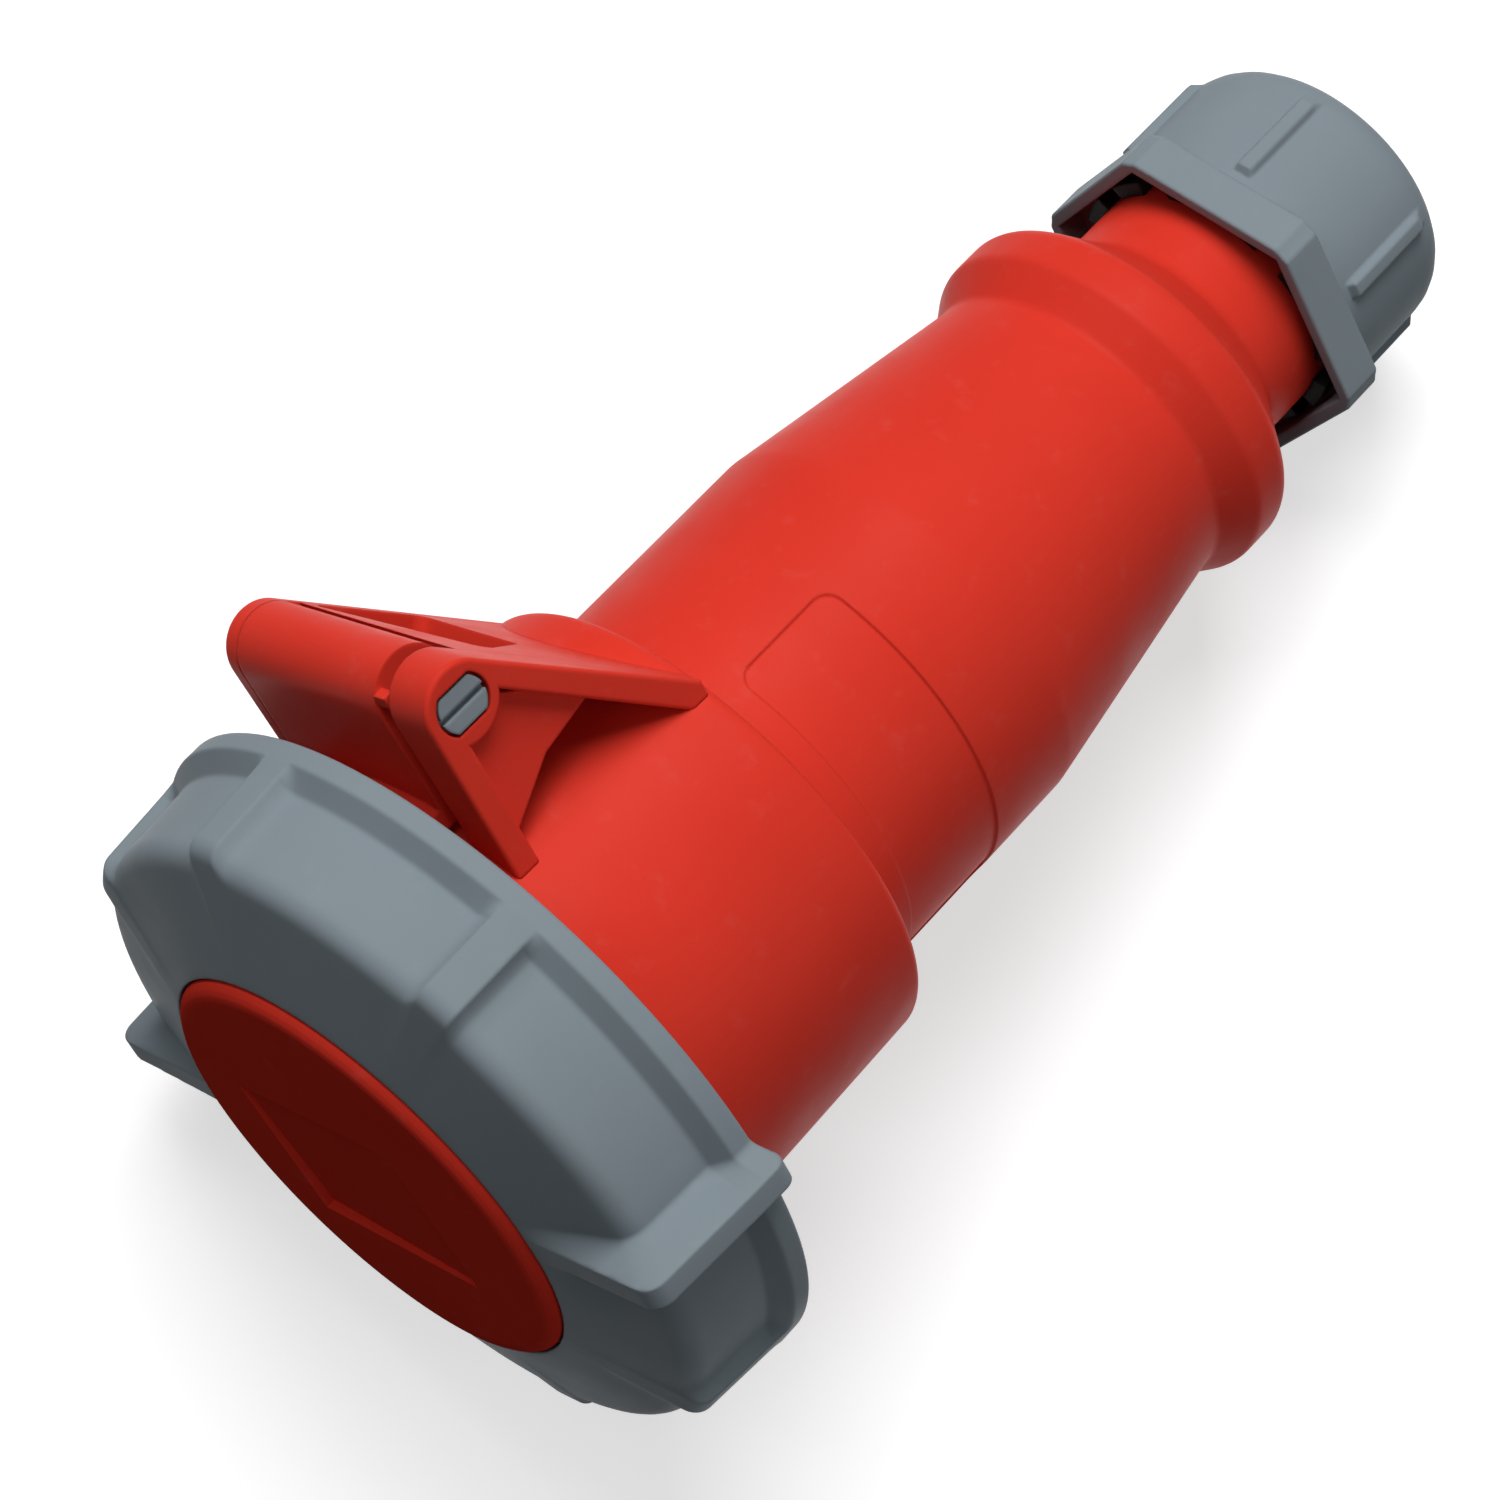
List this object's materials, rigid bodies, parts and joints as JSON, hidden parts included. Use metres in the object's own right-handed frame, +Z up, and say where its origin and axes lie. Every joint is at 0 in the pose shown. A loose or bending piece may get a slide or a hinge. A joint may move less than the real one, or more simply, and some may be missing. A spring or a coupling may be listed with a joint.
{
  "type": "industrial_connector",
  "caption": "Red round watertight industrial connector with a hinged lid closed under a grey bayonet ring, tapered rear housing and grey cable gland nut",
  "frame": {"origin": "centre of the bounding box, on the ground the closed connector lies on", "axes": "+Z up, +Y along the connector from the lid towards the cable gland, +X sideways, to the side that the hinge pin's head faces"},
  "size_m": [0.1018, 0.1934, 0.1],
  "materials": {
    "red_shell": "satin moulded red",
    "grey_shell": "satin moulded grey",
    "dark_insulation": "moulded dark insulation",
    "contact_brass": "turned brass",
    "fastener_steel": "plated steel",
    "seal_rubber": "black rubber"
  },
  "bodies": {
    "housing": {"front_housing": "red_shell", "socket_collar": "red_shell", "bayonet_lugs": "red_shell", "near_hinge_side": "red_shell", "far_hinge_side": "red_shell", "hinge_plate": "red_shell", "rear_sleeve": "red_shell", "contact_carrier": "dark_insulation", "carrier_cover": "dark_insulation", "earth_contact": "contact_brass", "neutral_contact": "contact_brass", "phase_contact_1": "contact_brass", "phase_contact_2": "contact_brass", "phase_contact_3": "contact_brass", "contact_springs": "fastener_steel", "terminal_screws": "fastener_steel", "carrier_screws": "fastener_steel", "joint_o_ring": "seal_rubber", "cable_seal": "seal_rubber", "clamp_cage": "dark_insulation", "hinge_pin": "grey_shell"},
    "lid": {"lid_body": "red_shell", "lid_cap": "red_shell", "lid_gasket": "seal_rubber"},
    "ring": {"bayonet_ring": "grey_shell"},
    "washer": {"thrust_washer": "dark_insulation"},
    "nut": {"gland_nut": "grey_shell"}
  },
  "joints": [
    {"name": "lid_hinge", "type": "hinge", "parent": "housing", "child": "lid", "pos_m": [-0.03605, -0.05288, 0.07978], "axis": [-0.6857, -0.1259, -0.7169], "range_deg": [0, 120]},
    {"name": "ring_turn", "type": "hinge", "parent": "lid", "child": "ring", "pos_m": [0.0019, -0.07892, 0.05004], "axis": [0, 0.9849, -0.173], "range_deg": [0, 28]},
    {"name": "gland_travel", "type": "slide", "parent": "housing", "child": "washer", "axis": [0, 0.9849, -0.173], "range_m": [0, 0.0045]},
    {"name": "nut_turn", "type": "hinge", "parent": "washer", "child": "nut", "pos_m": [0.0019, 0.08024, 0.02208], "axis": [0, 0.9849, -0.173], "range_deg": [0, 720]}
  ],
  "couplings": [
    {"joint": "gland_travel", "follows": "nut_turn", "m_per_rad": 0.00031831}
  ]
}
